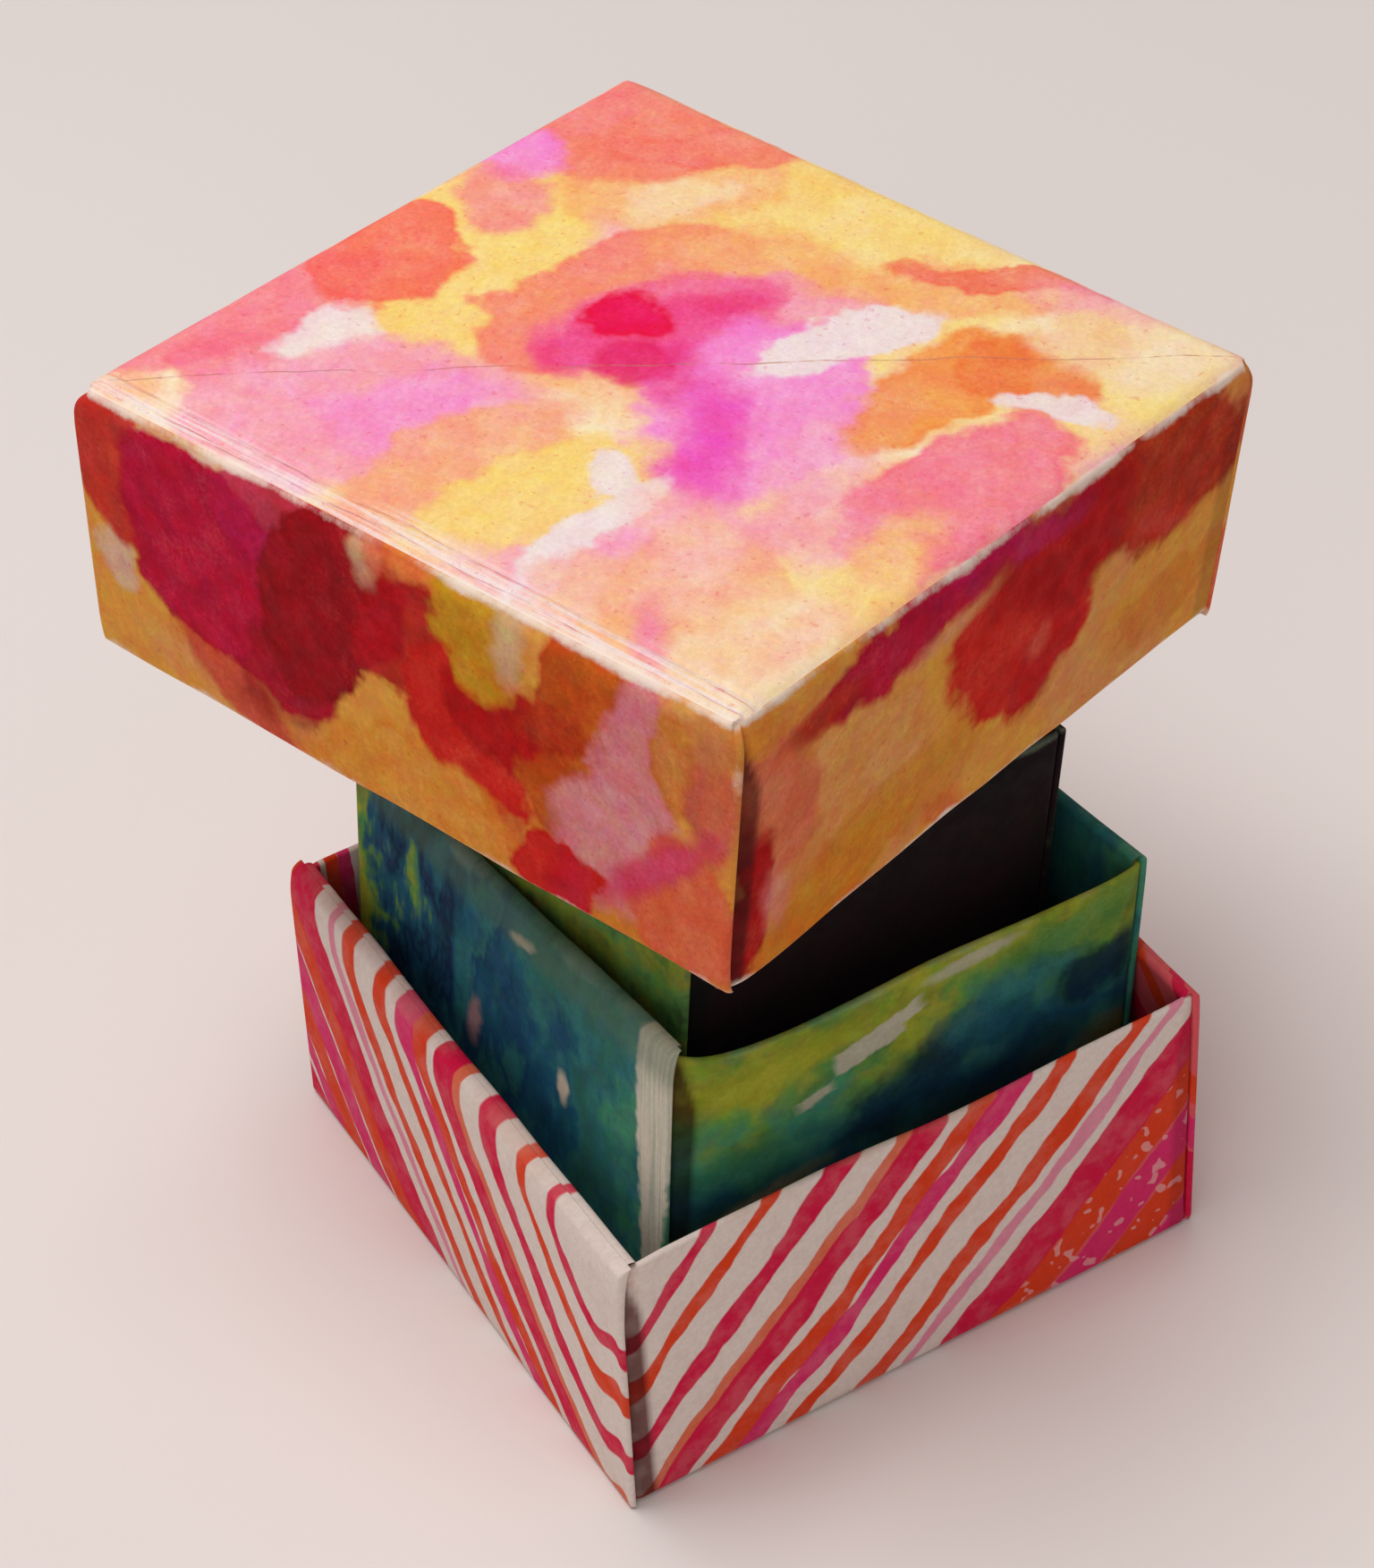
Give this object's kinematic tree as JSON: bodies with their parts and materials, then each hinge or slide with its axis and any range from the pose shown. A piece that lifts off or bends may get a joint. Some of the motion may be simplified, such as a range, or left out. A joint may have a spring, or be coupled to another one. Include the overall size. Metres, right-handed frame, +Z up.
{
  "type": "origami box",
  "caption": "Nest of square folded paper boxes: a striped tray holds a green box and an inner box, and a closed orange box with a lift-off lid stands on top.",
  "frame": {"origin": "centre of the striped tray's outside floor", "axes": "+Z up out of the tray, -X and -Y towards the tray's front-left and front-right walls in the picture"},
  "size_m": [0.0804, 0.0796, 0.0768],
  "materials": {
    "striped_paper": "matt white paper painted with crimson, orange and pink stripes",
    "green_paper": "matt paper with lime, teal and blue watercolour",
    "dark_paper": "matt paper with dark green and maroon watercolour",
    "orange_paper": "matt paper with orange, yellow and red watercolour"
  },
  "bodies": {
    "nest": {"striped_tray": "striped_paper", "green_box": "green_paper", "inner_box": "dark_paper", "orange_base": "orange_paper"},
    "lid": {"orange_lid": "orange_paper"}
  },
  "joints": [
    {"name": "lid_lift", "type": "slide", "parent": "nest", "child": "lid", "axis": [0.0863, -0.0117, 0.9962], "range_m": [0, 0.03]}
  ]
}
